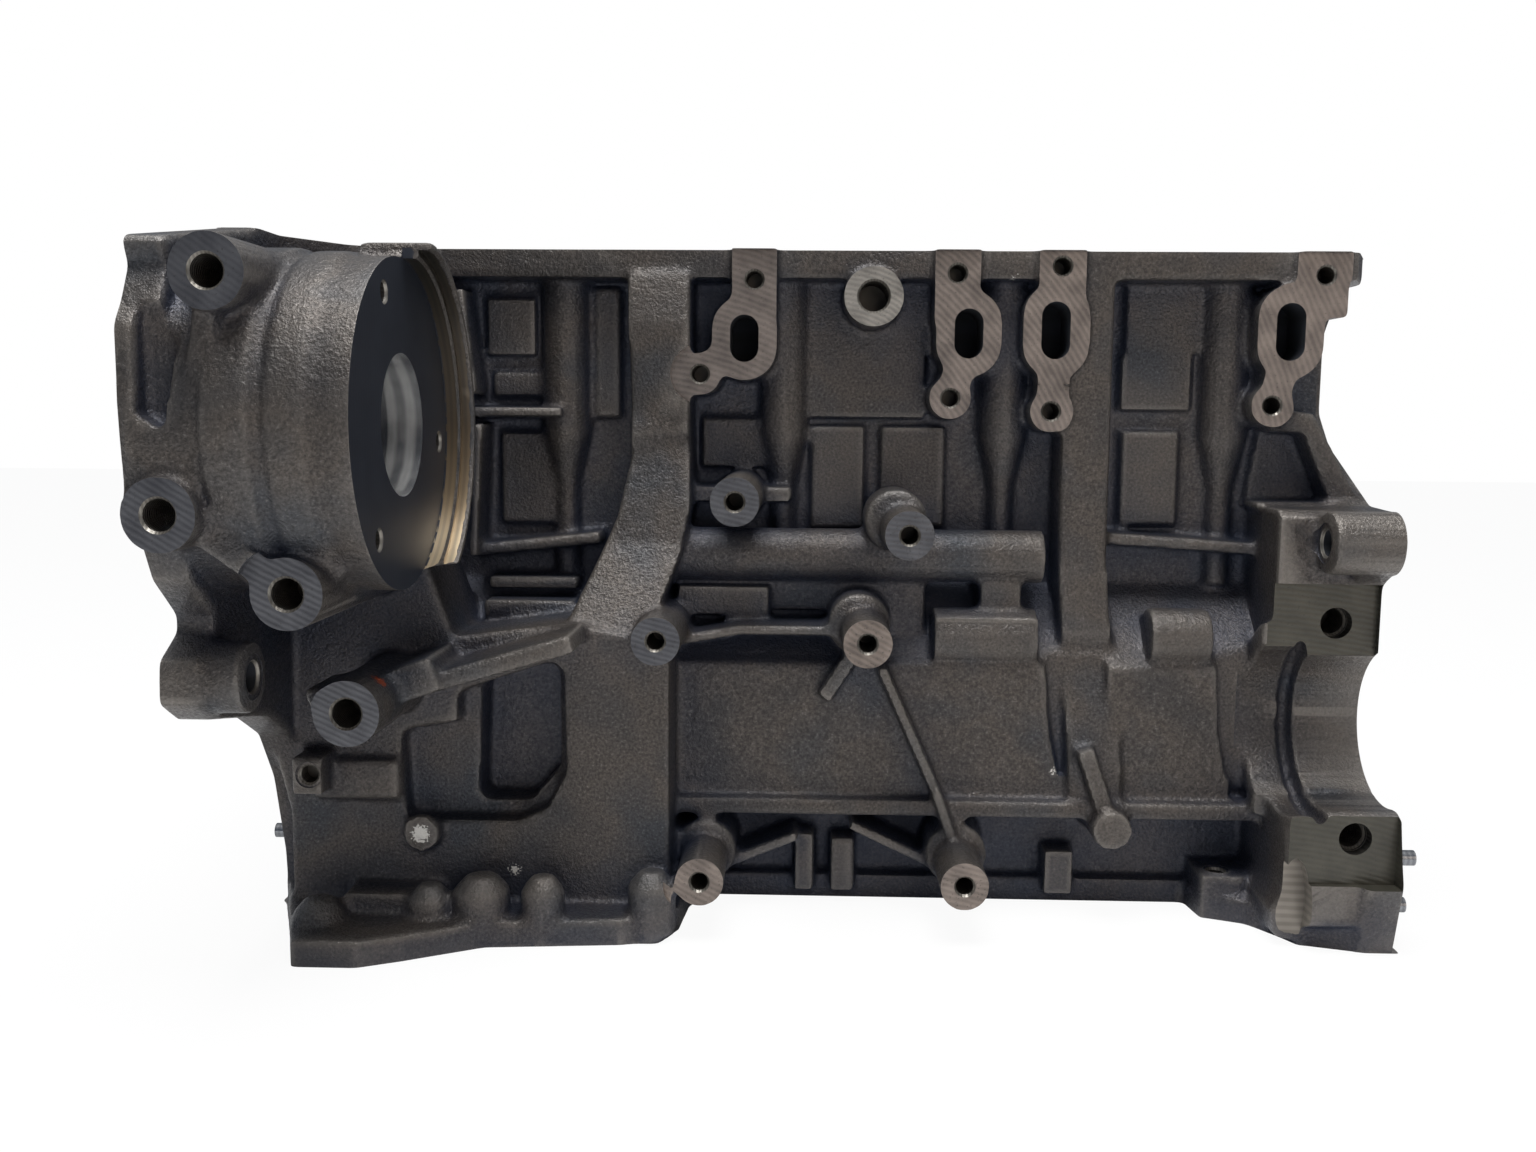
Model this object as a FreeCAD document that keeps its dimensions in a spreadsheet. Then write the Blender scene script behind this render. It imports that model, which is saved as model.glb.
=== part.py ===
# Four-cylinder diesel engine block with its main bearing caps, plugs and dowels.
# Frame: X runs along the crankshaft, -Y is the accessory side, +Z is up, and the
# origin is on the crank axis half way between the second and third cylinders.
# All lengths are millimetres.
import FreeCAD, Part
import os
import re
import Sketcher
from FreeCAD import Rotation, Vector

doc = FreeCAD.newDocument("engine_block")

# ---------------------------------------------------------------- driving dimensions
SIZES = {
    # main lengths of the block
    "bore_pitch": 92, "bore_radius": 41.5, "barrel_wall": 5.5, "jacket_gap": 7,
    "jacket_half": 62, "deck_height": 214, "rail_depth": 57, "front_end": 205, "rear_end": 238,
    "deck_half": 79, "deck_plate": 11, "jacket_depth": 98, "jacket_cover": 10,
    # crankcase
    "case_half": 88, "case_wall": 8, "case_top": 78, "case_shoulder": 50, "skirt_half": 74,
    "bulkhead_thickness": 20, "rail_thickness": 10, "rail_half": 80,
    "end_wall": 13, "chain_room": 28, "seal_radius": 46,
    # main bearings
    "main_radius": 32, "cap_width": 112, "cap_height": 48, "cap_thickness": 20,
    "cap_bolt_offset": 42, "cap_bolt_radius": 5.5, "cap_bolt_clearance": 0.5,
    "cap_bolt_grip": 44, "cap_head_radius": 9, "cap_head_height": 8,
    # cylinder head joint
    "head_bolt_offset": 48, "head_bolt_radius": 5.5, "head_bolt_depth": 95,
    "head_boss_radius": 10, "head_boss_foot": 140, "head_rib_radius": 4, "head_rib_foot": 98,
    "water_hole_offset": 50.5, "water_hole_radius": 4,
    # high pressure pump seat
    "pump_across": 168, "pump_up": 143, "pump_seat_radius": 58, "pump_bore_radius": 25,
    "pump_face": 132, "pump_rim": 11, "pump_rim_back": 15, "pump_rim_wall": 6, "pump_room_wall": 12,
    "pump_bolt_circle": 48, "pump_bolt_depth": 11,
    # bosses and tapped holes
    "bracket_plane": 134, "bracket_boss_radius": 9.5, "eight_thread": 3.4,
    "mount_plane": 228, "mount_boss_radius": 12, "twelve_thread": 5.2, "thread_depth": 24,
    "pad_plane": 84, "slot_half_width": 5.8, "slot_depth": 22, "slot_wall": 7.4,
    "pad_lobe_radius": 8.5, "pad_thread_depth": 16,
    "sensor_radius": 6, "starter_radius": 31,
    "lug_radius": 12.5, "lug_length": 26,
    "far_plane": 106, "far_boss_radius": 12, "far_thread_radius": 4.2,
    # lower front housing
    "plateau": 120, "gallery_across": 79, "gallery_up": 90, "gallery_radius": 11,
    "main_gallery_up": 60,
    # plugs and dowels
    "core_up": 150, "core_radius": 17.5, "core_depth": 9, "core_wall": 1.6, "plug_radius": 8,
    "plug_length": 12, "dowel_radius": 7, "dowel_wall": 1.2, "dowel_length": 14,
    "pin_radius": 3, "pin_sunk": 7, "pin_out": 9,
}
sheet = doc.addObject("Spreadsheet::Sheet", "Sizes")
for row, (alias, value) in enumerate(SIZES.items(), start=1):
    sheet.set("A%d" % row, alias)
    sheet.set("B%d" % row, str(value))
    sheet.setAlias("B%d" % row, alias)
doc.recompute()


# ---------------------------------------------------------------- parametric helpers
def prefixed(text):
    """An expression written with the sheet's aliases, as the document reads it."""
    def alias(match):
        word = match.group()
        return "Sizes." + word if word in SIZES else word
    return re.sub(r"[a-z_]+", alias, str(text))


def bind(item, prop, text):
    """Bind a property to an expression written with the sheet's aliases."""
    item.setExpression(prop, prefixed(text))


def place(item, x, y, z):
    """Bind the three coordinates of an object's place."""
    bind(item, "Placement.Base.x", x)
    bind(item, "Placement.Base.y", y)
    bind(item, "Placement.Base.z", z)


def box(name, x, y, z):
    """A block between two coordinates on each axis."""
    item = doc.addObject("Part::Box", name)
    for prop, (low, high) in zip(("Length", "Width", "Height"), (x, y, z)):
        bind(item, prop, "(%s) - (%s)" % (high, low))
    place(item, x[0], y[0], z[0])
    return item


TURN = {"X": Rotation(Vector(0, 1, 0), 90), "Y": Rotation(Vector(1, 0, 0), -90), "Z": Rotation()}


def spot(axis, centre, start):
    """The three coordinates of a point given across an axis and along it."""
    return {"X": (start, centre[0], centre[1]),
            "Y": (centre[0], start, centre[1]),
            "Z": (centre[0], centre[1], start)}[axis]


def rod(name, axis, centre, start, end, radius, end_radius=None):
    """A cylinder, or a cone with end_radius, along an axis from start up to end."""
    kind = "Part::Cylinder" if end_radius is None else "Part::Cone"
    item = doc.addObject(kind, name)
    item.Placement = FreeCAD.Placement(Vector(), TURN[axis])
    bind(item, "Height", "(%s) - (%s)" % (end, start))
    bind(item, "Radius" if end_radius is None else "Radius1", radius)
    if end_radius is not None:
        bind(item, "Radius2", end_radius)
    place(item, *spot(axis, centre, start))
    return item


PLANE = {"X": Rotation(Vector(0, 1, 0), Vector(0, 0, 1), Vector(1, 0, 0), "ZXY"),
         "Y": Rotation(Vector(1, 0, 0), Vector(0, 0, 1), Vector(0, -1, 0), "ZXY"),
         "Z": Rotation()}
ALONG = {"X": Vector(1, 0, 0), "Y": Vector(0, 1, 0), "Z": Vector(0, 0, 1)}


def plate(name, axis, points, start, end, rounding=0):
    """A closed outline of points, drawn across an axis and padded from start to end."""
    sketch = doc.addObject("Sketcher::SketchObject", name + "_outline")
    sketch.Placement = FreeCAD.Placement(Vector(), PLANE[axis])
    count = len(points)
    guess = [[float(sheet.evalExpression(prefixed(part))) for part in point] for point in points]
    for index in range(count):
        here = Vector(guess[index][0], guess[index][1], 0)
        there = Vector(guess[(index + 1) % count][0], guess[(index + 1) % count][1], 0)
        sketch.addGeometry(Part.LineSegment(here, there))
    for index in range(count):
        sketch.addConstraint(Sketcher.Constraint("Coincident", index, 2, (index + 1) % count, 1))
    for index, point in enumerate(points):
        for kind, part, value in zip(("DistanceX", "DistanceY"), point, guess[index]):
            number = sketch.addConstraint(Sketcher.Constraint(kind, -1, 1, index, 1, value))
            bind(sketch, "Constraints[%d]" % number, part)
    place(sketch, *spot(axis, ("0", "0"), start))
    base = sketch
    if rounding:
        for step, sign in (("inner", -1), ("outer", 1)):
            offset = doc.addObject("Part::Offset2D", name + "_" + step)
            offset.Source = base
            offset.Value = sign * rounding
            base = offset
    pad = doc.addObject("Part::Extrusion", name)
    pad.Base = base
    pad.DirMode = "Custom"
    pad.Dir = ALONG[axis]
    pad.Solid = True
    bind(pad, "LengthFwd", "(%s) - (%s)" % (end, start))
    return pad


def fuse(name, shapes):
    item = doc.addObject("Part::MultiFuse", name)
    item.Shapes = shapes
    return item


def cut(name, base, tool):
    item = doc.addObject("Part::Cut", name)
    item.Base = base
    item.Tool = tool
    return item


def common(name, first, second):
    item = doc.addObject("Part::MultiCommon", name)
    item.Shapes = [first, second]
    return item


# ---------------------------------------------------------------- shared places
CYLINDERS = ["-1.5 * bore_pitch", "-0.5 * bore_pitch", "0.5 * bore_pitch", "1.5 * bore_pitch"]
BOLT_ROWS = ["-2 * bore_pitch", "-bore_pitch", "0", "bore_pitch", "2 * bore_pitch"]
SIDES = ["-", ""]
PUMP_AXIS = ("-pump_across", "pump_up")
RIM_BACK = "-pump_face - pump_rim_back"
RIM_FRONT = "-pump_face + pump_rim"
MAIN_GALLERY = ("jacket_half + 8", "main_gallery_up")
# where a form is rooted: inside the jacket wall, the crankcase skirt and the far wall
JACKET = "-jacket_half + 3"
SKIRT = "-skirt_half + 4"
FAR = "jacket_half - 3"
# fronts of the forms that stand on the accessory side
PANEL_FRONT = "-jacket_half - 4"
RIB_FRONT = "-jacket_half - 16"
BAY_FRONT = "-case_half - 5"
PLATEAU = "-plateau"
# dowels: name, bolt row and side; end pins: name, end face, outward sign, place
DECK_DOWELS = [("front", BOLT_ROWS[0], ""), ("rear", BOLT_ROWS[4], "")]
END_PINS = [("front_near", "-front_end", "-", ("-86", "-30")),
            ("front_far", "-front_end", "-", ("86", "-30")),
            ("rear_near", "rear_end", "+", ("-126", "-21")),
            ("rear_low", "rear_end", "+", ("-120", "-42"))]
solid = []
void = []
drilled = []


def rib(name, start, end, width, front, root):
    """A straight rib of the accessory side between two places given across and up."""
    along = Vector(end[0] - start[0], end[1] - start[1], 0).normalize()
    side = Vector(-along.y, along.x, 0) * (width / 2)
    corners = [(start, 1), (end, 1), (end, -1), (start, -1)]
    outline = [(str(spot[0] + sign * side.x), str(spot[1] + sign * side.y)) for spot, sign in corners]
    solid.append(plate("rib_" + name, "Y", outline, front, root))


def tapped(name, axis, centre, mouth, inward, depth, radius):
    """A blind hole for a thread; it starts above its mouth so that the face is opened."""
    low, high = ("(%s) - 1" % mouth, "(%s) + %s" % (mouth, depth))
    if inward == "-":
        low, high = ("(%s) - %s" % (mouth, depth), "(%s) + 1" % mouth)
    drilled.append(rod(name, axis, centre, low, high, radius))


# ---------------------------------------------------------------- casting: main body
# the jacket that holds the four barrels, closed by the deck plate on top
solid.append(box("jacket_body", ("-front_end", "2 * bore_pitch + 40"),
                 ("-jacket_half", "jacket_half"), ("20", "deck_height")))
deck_outline = [("-front_end", "-deck_half - 61"), ("-front_end + 30", "-deck_half - 12"),
                ("-front_end + 52", "-deck_half"), ("rear_end - 8", "-deck_half - 4"),
                ("rear_end", "-deck_half + 20"), ("rear_end", "deck_half"), ("-front_end", "deck_half")]
solid.append(plate("deck_plate_form", "Z", deck_outline, "deck_height - deck_plate", "deck_height"))
# crankcase: wide at the crank's height, drawn in again above the sump rail
case_outline = [("-jacket_half", "case_top"), ("-case_half", "case_shoulder"),
                ("-case_half", "-4"), ("-skirt_half", "-20"), ("-skirt_half", "-rail_depth"),
                ("skirt_half", "-rail_depth"), ("skirt_half", "-20"), ("case_half", "-4"),
                ("case_half", "case_shoulder"), ("jacket_half", "case_top")]
solid.append(plate("crankcase_form", "X", case_outline, "-front_end", "rear_end"))
# sump rail, flared at both ends of the accessory side
rail_outline = [("-front_end", "-98"), ("-179", "-166"), ("-155", "-166"), ("-140", "-159"),
                ("-112", "-144"), ("-60", "-139"), ("-46", "-134"), ("-39", "-122"), ("-37", "-96"),
                ("-30", "-rail_half"), ("172", "-rail_half"), ("175", "-98"), ("190", "-101"),
                ("205", "-126"), ("rear_end - 10", "-133"), ("rear_end", "-133"),
                ("rear_end", "98"), ("-front_end", "98")]
solid.append(plate("sump_rail", "Z", rail_outline, "-rail_depth", "rail_thickness - rail_depth"))

# ---------------------------------------------------------------- casting: end flanges
front_outline = [("-98", "-rail_depth"), ("-100", "-34"), ("-110", "0"), ("-124", "21"),
                 ("-146", "33"), ("-192", "42"), ("-205", "50"), ("-204", "64"), ("-190", "72"),
                 ("-190", "78"), ("-206", "92"), ("-212", "104"), ("-224", "114"),
                 ("-222", "124"), ("-224", "148"), ("-224", "174"), ("-219", "181"),
                 ("-213", "193"), ("-217", "202"), ("-140", "deck_height"), ("deck_half", "deck_height"),
                 ("98", "150"), ("110", "60"), ("106", "-20"), ("98", "-rail_depth")]
solid.append(plate("front_flange", "X", front_outline, "-front_end", "end_wall - front_end", 3))
rear_outline = [("-133", "-rail_depth"), ("-140", "-28"), ("-131", "-2"), ("-100", "-1"),
                ("-100", "82"), ("-116", "89"), ("-124", "100"), ("-113", "112"), ("-87", "113"),
                ("-40", "136"), ("-26", "150"), ("-26", "184"), ("-52", "deck_height"),
                ("60", "deck_height"), ("94", "150"), ("108", "60"), ("106", "-20"), ("98", "-rail_depth")]
solid.append(plate("rear_flange", "X", rear_outline, "rear_end - end_wall", "rear_end", 3))

# ---------------------------------------------------------------- casting: pump housing
# a drum that carries the pump: its seat, the room for the drive behind it and the rim
# that is turned into the bridge to the jacket
solid.append(rod("pump_drum", "X", PUMP_AXIS, "-front_end + 2", "-pump_face", "pump_seat_radius"))
solid.append(box("pump_bridge", ("-front_end + 2", RIM_BACK), ("-pump_across + 40", JACKET),
                 ("pump_up - 62", "pump_up + 60")))
# the rim: half a collar on the side of the jacket, which stands past the seat
solid.append(common("pump_rim", rod("rim_collar", "X", PUMP_AXIS, RIM_BACK, RIM_FRONT,
                                    "pump_seat_radius + pump_rim_wall"),
                    box("rim_room", (RIM_BACK, RIM_FRONT), ("-pump_across + 4", JACKET),
                        ("pump_up - 53", "pump_up + 64"))))
# soft rings around the drum, standing where its wall thickens
for name, low, high, proud in (("front", "-178", "-163", "2.5"), ("rear", "-158", "-146", "1.5")):
    solid.append(rod("drum_band_" + name, "X", PUMP_AXIS, low, high, "pump_seat_radius + " + proud))
void.append(rod("pump_seat_cut", "X", PUMP_AXIS, "-pump_face", "-pump_face + 20", "pump_seat_radius"))
void.append(rod("pump_rim_step", "X", PUMP_AXIS, "-pump_face + pump_rim / 2", "-pump_face + 20",
                "pump_seat_radius + 3"))
void.append(rod("pump_bore", "X", PUMP_AXIS, "-front_end - 1", "-pump_face + 1", "pump_bore_radius"))
void.append(rod("drive_room", "X", PUMP_AXIS, "-front_end - 1", "-pump_face - pump_room_wall",
                "pump_seat_radius - 12"))
for number, angle in enumerate((112, 232, 352), start=1):
    centre = ("-pump_across + pump_bolt_circle * cos(%d)" % angle,
              "pump_up + pump_bolt_circle * sin(%d)" % angle)
    tapped("pump_bolt_hole_%d" % number, "X", centre, "-pump_face", "-", "pump_bolt_depth",
           "eight_thread")
# thin ribs on the jacket wall, which follow the rim
for name, start, end in (("upper", (-133, 198), (-128, 155)), ("lower", (-126, 143), (-129, 88))):
    rib("rim_" + name, start, end, 3.5, "-jacket_half - 20", JACKET)
# hollow between the flange and the drum
void.append(plate("flange_hollow", "Y",
                  [("-199", "181"), ("-186", "181"), ("-190", "141"), ("-199", "146")],
                  "-mount_plane - 4", "-mount_plane + 11"))

# ---------------------------------------------------------------- casting: engine mount bosses
# name, place, face plane, root
MOUNT_BOSSES = [("upper", ("-174", "190"), "-mount_plane", JACKET),
                ("outer", ("-192", "115"), "-mount_plane", "-mount_plane + 78"),
                ("middle", ("-157", "89"), "-mount_plane + 12", JACKET),
                ("lower", ("-151", "42"), "-mount_plane + 48", JACKET)]
for name, centre, front, root in MOUNT_BOSSES:
    solid.append(rod("mount_boss_" + name, "Y", centre, front, root, "mount_boss_radius"))
    tapped("mount_thread_" + name, "Y", centre, front, "+", "thread_depth", "twelve_thread")
# webs that tie them together, and the rib and the teardrop of the lowest one
rib("mount_upper", (-186, 113), (-175, 190), 8, "-mount_plane + 3", "-mount_plane + 78")
rib("mount_outer", (-190, 114), (-156, 90), 9, "-mount_plane + 12", "-mount_plane + 78")
rib("mount_middle", (-157, 89), (-143, 108), 17, "-mount_plane + 24", "-mount_plane + 78")
rib("mount_lower", (-150, 41), (-76, 63), 7, "-mount_plane + 76", "-plateau + 2")
rib("mount_root", (-151, 43), (-126, 52), 13, "-mount_plane + 72", "-plateau + 2")
solid.append(plate("mount_teardrop", "Y", [("-150", "53"), ("-168", "50"), ("-164", "44"), ("-152", "31")],
                   "-mount_plane + 49", "-mount_plane + 78", 2))
# housing behind the lower bosses, down to the sump rail
housing_outline = [("-front_end + 2", "95"), ("-front_end + 2", "22"), ("-front_end + 10", "-12"),
                   ("-front_end + 10", "-48"), ("-43", "-48"), ("-43", "58"), ("-82", "66"),
                   ("-128", "60"), ("-140", "95")]
solid.append(plate("lower_housing", "Y", housing_outline, PLATEAU, SKIRT, 4))
pocket_outline = [("-127", "38"), ("-85", "52"), ("-84", "6"), ("-92", "-9"), ("-104", "-14"),
                  ("-148", "-14"), ("-150", "22"), ("-127", "26")]
void.append(plate("housing_pocket", "Y", pocket_outline, "-plateau - 1", "-plateau + 10", 5))
void.append(plate("pocket_floor", "Y",
                  [("-119", "41"), ("-88", "50"), ("-88", "6"), ("-100", "-8"), ("-121", "-8")],
                  "-plateau + 5", "-plateau + 26", 5))
solid.append(box("pocket_bar", ("-139", "-129"), ("-plateau + 1", SKIRT), ("-3", "24")))
solid.append(box("side_panel", ("-184", "-150"), ("-plateau - 4", SKIRT), ("-5", "11")))
solid.append(box("side_lug", ("-188", "-176"), ("-plateau - 16", SKIRT), ("0", "15")))
tapped("side_lug_hole", "Y", ("-181", "8"), "-plateau - 16", "+", "8", "eight_thread")
solid.append(rod("blind_boss", "Y", ("-141", "-18"), "-plateau - 6", "-plateau + 12", "7.4"))

# ---------------------------------------------------------------- casting: bracket bosses
# name, place, root
BRACKET_BOSSES = [("duct", ("-47", "61.5"), JACKET), ("pocket", ("-17", "115"), JACKET),
                  ("gallery", ("49", "103"), JACKET), ("case", ("34", "61.5"), JACKET),
                  ("rail_front", ("-30", "-33"), SKIRT), ("rail_middle", ("73", "-33"), SKIRT)]
for name, centre, root in BRACKET_BOSSES:
    solid.append(rod("bracket_boss_" + name, "Y", centre, "-bracket_plane", root, "bracket_boss_radius"))
    tapped("bracket_thread_" + name, "Y", centre, "-bracket_plane", "+", "thread_depth", "eight_thread")
BRACKET_FEET = [("gallery", ("46", "106")), ("case", ("32", "64")), ("rail_front", ("-30", "-31")),
                ("rail_middle", ("73", "-31"))]
for name, centre in BRACKET_FEET:
    solid.append(rod("bracket_foot_" + name, "Y", centre, "-case_half - 14", SKIRT,
                     "bracket_boss_radius + 3"))
solid.append(box("pocket_ears", ("-35", "4"), ("-jacket_half - 18", JACKET), ("112", "118")))
solid.append(rod("sensor_boss", "Y", ("36", "195"), "-pad_plane - 8", JACKET, "mount_boss_radius"))
tapped("sensor_thread", "Y", ("36", "195"), "-pad_plane - 8", "+", "thread_depth", "sensor_radius")

# ---------------------------------------------------------------- casting: slotted pads
# each pad is a wall round a slot, an arm up to the deck that holds the upper hole, and a
# neck down to a lobe with the lower one: name, slot centre, slot foot and head, upper
# hole, lower hole, arm
PADS = [("one", -16, 169, 188, (-12, 202), (-34, 164), (-21, -3)),
        ("two", 75, 171, 191, (70, 205), (68, 155), (61, 79)),
        ("three", 110, 171, 194, (112, 208), (109, 150), (103, 121)),
        ("four", 204, 171, 194, (217, 205), (198, 153), (206, 226))]
for name, across, foot, head, upper, lobe, arm in PADS:
    ends = (("%s + slot_half_width" % foot), ("%s - slot_half_width" % head))
    for kind, group, wall, front, back in (("pad", solid, " + slot_wall", "-pad_plane", JACKET),
                                           ("slot", void, "", "-pad_plane - 1", "slot_depth - pad_plane")):
        half = "(slot_half_width%s)" % wall
        for mark, up in zip(("foot", "head"), ends):
            group.append(rod("%s_%s_%s" % (kind, name, mark), "Y", (str(across), up), front, back, half))
        group.append(box("%s_%s_middle" % (kind, name),
                         ("%d - %s" % (across, half), "%d + %s" % (across, half)), (front, back), ends))
    solid.append(box("pad_%s_arm" % name, [str(side) for side in arm], ("-pad_plane", JACKET),
                     (ends[1], "deck_height")))
    solid.append(rod("pad_%s_lobe" % name, "Y", [str(value) for value in lobe], "-pad_plane", JACKET,
                     "pad_lobe_radius"))
    rib("pad_%s_neck" % name, lobe, (across, foot + 8), 12, "-pad_plane", JACKET)
    for mark, centre in (("upper", upper), ("lower", lobe)):
        tapped("pad_%s_thread_%s" % (name, mark), "Y", [str(value) for value in centre], "-pad_plane",
               "+", "pad_thread_depth", "eight_thread")

# ---------------------------------------------------------------- casting: ducts and ribs
# breather duct: a curved front outline met with a side profile that leans outwards
duct_front = [("-64", "205"), ("-38", "205"), ("-38", "137"), ("-37", "111"), ("-41", "90"), ("-50", "66"),
              ("-50", "40"), ("-90", "40"), ("-84", "66"), ("-74", "89"), ("-67", "106"), ("-62", "130"),
              ("-62", "150")]
duct_side = [("-82", "205"), ("-86", "185"), ("-84", "140"), ("-96", "96"), (PLATEAU, "58"),
             (PLATEAU, "40"), (JACKET, "40"), (JACKET, "205")]
solid.append(common("breather_duct", plate("duct_front", "Y", duct_front, "-130", JACKET, 2),
                    plate("duct_side", "X", duct_side, "-95", "-30")))
drain_front = [("113", "206"), ("134", "206"), ("134", "90"), ("141", "-8"), ("119", "-8"), ("114", "90")]
drain_side = [("-82", "206"), ("-84", "60"), ("-97", "10"), ("-96", "-10"), (JACKET, "-10"),
              (JACKET, "206")]
solid.append(common("drain_duct", plate("drain_front", "Y", drain_front, "-100", JACKET),
                    plate("drain_profile", "X", drain_side, "105", "145")))
solid.append(rod("knob", "Y", ("135", "-18"), "-case_half - 20", SKIRT, "8"))
rib("knob", (124, 14), (133, -12), 7, "-case_half - 16", SKIRT)
# head bolt columns on both sides, each tapering to a rib below
for number, row in enumerate(BOLT_ROWS, start=1):
    for side in SIDES:
        mark = "%d%s" % (number, "a" if side else "b")
        centre = (row, side + "(jacket_half + 1)")
        solid.append(rod("column_" + mark, "Z", centre, "head_boss_foot", "deck_height - 2",
                         "head_boss_radius"))
        solid.append(rod("column_taper_" + mark, "Z", centre, "head_boss_foot - 22", "head_boss_foot",
                         "head_rib_radius + 1", "head_boss_radius"))
        solid.append(rod("column_rib_" + mark, "Z", centre, "head_rib_foot - 20",
                         "head_boss_foot - 20", "head_rib_radius + 1"))
# oil gallery along the block on the accessory side, and the main gallery on the other
solid.append(rod("gallery_tube", "X", ("-gallery_across", "gallery_up"), "-44", "108", "gallery_radius"))
solid.append(rod("main_gallery", "X", MAIN_GALLERY, "-front_end + 4", "rear_end - 4", "plug_radius + 5"))
void.append(rod("main_gallery_bore", "X", MAIN_GALLERY, "-front_end - 1", "rear_end + 1", "plug_radius"))
# crankcase bays bulge past the wall and end short of the ducts: name and front outline
bay_side = [(BAY_FRONT + " + 14", "56"), (BAY_FRONT, "46"), (BAY_FRONT, "-2"), (BAY_FRONT + " + 12", "-9"),
            (SKIRT, "-9"), (SKIRT, "56")]
for name, outline in (("front", [("-44", "56"), ("108", "56"), ("111", "20"), ("117", "-9"), ("-44", "-9")]),
                      ("rear", [("134", "56"), ("178", "56"), ("180", "20"), ("186", "-9"), ("134", "-9")])):
    solid.append(common("bay_" + name,
                        plate("bay_front_" + name, "Y", outline, BAY_FRONT + " - 2", SKIRT),
                        plate("bay_side_" + name, "X", bay_side, outline[0][0] + " - 5",
                              outline[3][0] + " + 20")))
for name, low, high, up in (("front", "63", "105", "57"), ("rear", "151", "176", "58")):
    solid.append(rod("case_bump_" + name, "X", ("-case_half + 4", up), low, high, "12"))
solid.append(box("case_web", ("28", "60"), ("-jacket_half - 20", JACKET), ("50", "78")))
solid.append(box("long_rib", ("-44", "197"), (BAY_FRONT + " - 6", SKIRT), ("-16", "-9")))
# shelves between the gallery and the crankcase: X range, Z range, front
SHELVES = [("-43", "-5", "65", "77", "-84"), ("-4", "27", "67", "78", "-82"),
           ("82", "99", "68", "80", "-84"), ("-124", "-86", "74", "79", "-76"),
           ("-124", "-86", "64", "70", "-86")]
for number, (left, right, foot, head, front) in enumerate(SHELVES, start=1):
    solid.append(box("shelf_%d" % number, (left, right), (front, JACKET), (foot, head)))
# ribs of the jacket wall, then of the crankcase and the skirt below the long rib
rib("wall_upper", (-134, 148), (-92, 148), 4, RIB_FRONT, JACKET)
rib("wall_lower", (-130, 90), (-76, 96), 5, RIB_FRONT, JACKET)
rib("wall_rear", (133, 98), (198, 94), 5, RIB_FRONT, JACKET)
rib("arch_front", (-44, 56), (-17, 61), 4, "-case_half - 14", SKIRT)
rib("arch_rear", (-18, 61), (28, 61), 4, "-case_half - 14", SKIRT)
rib("case_long", (41, 47), (64, -4), 4, "-case_half - 16", SKIRT)
rib("case_low", (64, -4), (73, -29), 4, "-case_half - 18", SKIRT)
rib("case_short", (30, 52), (18, 33), 6, "-case_half - 12", SKIRT)
rib("skirt_front", (-21, -38), (8, -26), 4, "-case_half - 8", SKIRT)
rib("skirt_rear", (30, -21), (66, -38), 4, "-case_half - 8", SKIRT)
for name, left, right, front, top in (("front", "7", "15", "-84", "-27"), ("rear", "22", "32", "-88", "-29"),
                                      ("drain", "112", "124", "-84", "-33")):
    solid.append(box("skirt_bar_" + name, (left, right), (front, SKIRT), ("-rail_depth + 5", top)))
# raised panels of the jacket wall: X range and Z range
PANELS = [("-125", "-105", "172", "195"), ("-123", "-103", "155", "165"), ("-79", "-69", "146", "200"),
          ("9", "59", "147", "204"), ("142", "173", "175", "204"), ("141", "170", "151", "174"),
          ("-120", "-97", "101", "139"), ("12", "34", "100", "143"), ("41", "68", "101", "143"),
          ("142", "166", "103", "142"), ("-34", "-5", "126", "146")]
for number, (left, right, foot, head) in enumerate(PANELS, start=1):
    solid.append(box("panel_%d" % number, (left, right), (PANEL_FRONT, JACKET), (foot, head)))

# ---------------------------------------------------------------- casting: sump rail bosses
# across, ahead, radius, height of the rounded top
RAIL_BOSSES = [("-176", "-143", "10", "-44"), ("-135", "-135", "9", "-41"), ("-115", "-134", "11", "-37"),
               ("-91", "-134", "8.5", "-37"), ("-49", "-129", "9.5", "-36")]
for number, (across, ahead, radius, top) in enumerate(RAIL_BOSSES, start=1):
    solid.append(rod("rail_boss_%d" % number, "Z", (across, ahead), "-rail_depth + 2", top, radius))
    solid.append(rod("rail_crown_%d" % number, "Z", (across, ahead), top, top + " + 6", radius,
                     radius + " / 2"))
    tapped("rail_thread_%d" % number, "Z", (across, ahead), "-rail_depth", "+", "pad_thread_depth",
           "eight_thread")
solid.append(box("rail_bar", ("-169", "-134"), ("-134", SKIRT), ("-rail_depth", "-39")))
lug_outline = [("174", "-98"), ("191", "-100"), ("197", "-92"), ("197", SKIRT), ("174", SKIRT)]
solid.append(plate("rail_lug", "Z", lug_outline, "-rail_depth", "-39", 2))
tapped("rail_lug_thread", "Z", ("182", "-91"), "-39", "-", "12", "eight_thread")

# ---------------------------------------------------------------- casting: lugs and rear pads
for name, centre, low, high in (("front_lug", ("-191", "57"), "-front_end", "lug_length - front_end"),
                                ("rear_lug", ("-112", "100"), "rear_end - lug_length", "rear_end")):
    solid.append(rod(name, "X", centre, low, high, "lug_radius"))
    void.append(rod(name + "_thread", "X", centre, low + " - 1", high + " + 1", "twelve_thread"))
rear_block = [(JACKET, "112"), ("-101", "112"), ("-101", "-2"), ("-132", "-2"), ("-132", "-48"),
              (JACKET, "-48")]
solid.append(plate("rear_block", "X", rear_block, "197", "rear_end", 2))
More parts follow.
